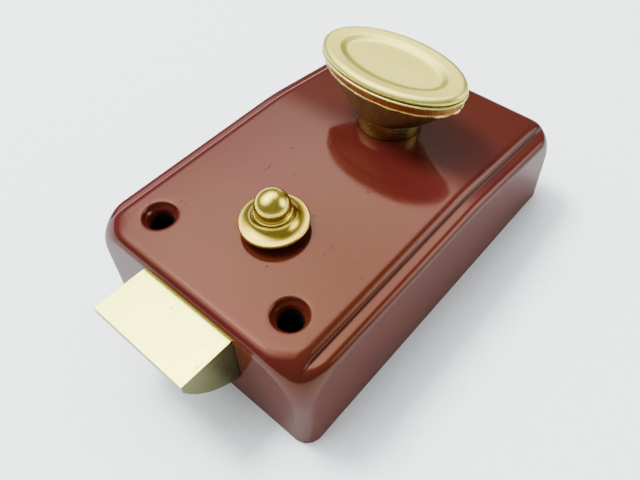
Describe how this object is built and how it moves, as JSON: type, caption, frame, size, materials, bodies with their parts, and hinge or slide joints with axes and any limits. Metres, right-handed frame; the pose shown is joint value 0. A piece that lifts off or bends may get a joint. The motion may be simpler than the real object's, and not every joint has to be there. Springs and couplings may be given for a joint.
{
  "type": "rim night latch",
  "caption": "Surface-mounted rim night latch with a red-brown cast case, bevelled brass spring bolt, oval knob and sliding snib button.",
  "frame": {"origin": "on the back face that lies on the door, at the knob's axis", "axes": "+X the way the bolt shoots, +Z out of the case's face into the room, +Y across the case"},
  "size_m": [0.0982, 0.0574, 0.0408],
  "materials": {
    "case_enamel": "glossy red-brown stoved enamel over cast metal",
    "zinc_steel": "zinc-plated steel, satin",
    "spring_steel": "dark spring steel",
    "bolt_brass": "pale brass, finely linished",
    "face_brass": "pale gold satin plating",
    "skirt_brass": "brown-gold drawn brass",
    "bowl_brass": "brown-gold pressed brass",
    "hub_brass": "olive-yellow passivated, turned",
    "snib_brass": "turned and polished brass"
  },
  "bodies": {
    "case": {"case": "case_enamel", "back_plate": "zinc_steel", "back_plate_screws": "zinc_steel", "guide_bridge": "zinc_steel", "bridge_rivets": "zinc_steel", "spring_pin": "zinc_steel", "bolt_spring": "spring_steel", "hub_washer": "zinc_steel", "detent_spring": "spring_steel"},
    "knob": {"knob_face": "face_brass", "knob_skirt": "skirt_brass", "knob_bowl": "bowl_brass", "clench_ring": "zinc_steel", "knob_hub": "hub_brass", "retaining_ring": "spring_steel", "spindle": "zinc_steel", "draw_cam": "zinc_steel", "tail_socket": "zinc_steel"},
    "bolt": {"latch_bolt": "bolt_brass", "bolt_tail": "zinc_steel", "bolt_rivets": "bolt_brass", "draw_lug": "zinc_steel"},
    "snib": {"snib_button": "snib_brass", "snib_slide": "zinc_steel"}
  },
  "joints": [
    {"name": "knob_turn", "type": "hinge", "parent": "case", "child": "knob", "pos_m": [0, 0, 0], "axis": [0, 0, 1], "range_deg": [0, 60]},
    {"name": "bolt_slide", "type": "slide", "parent": "case", "child": "bolt", "axis": [-1, 0, 0], "range_m": [0, 0.0104], "stiffness_N_per_m": 350, "springref_m": -0.012, "deforming": ["bolt_spring"]},
    {"name": "snib_slide", "type": "slide", "parent": "case", "child": "snib", "axis": [0, -1, 0], "range_m": [0, 0.004], "deforming": ["detent_spring"]}
  ],
  "couplings": [
    {"joint": "knob_turn", "follows": "bolt_slide", "rad_per_m": 100.69}
  ]
}
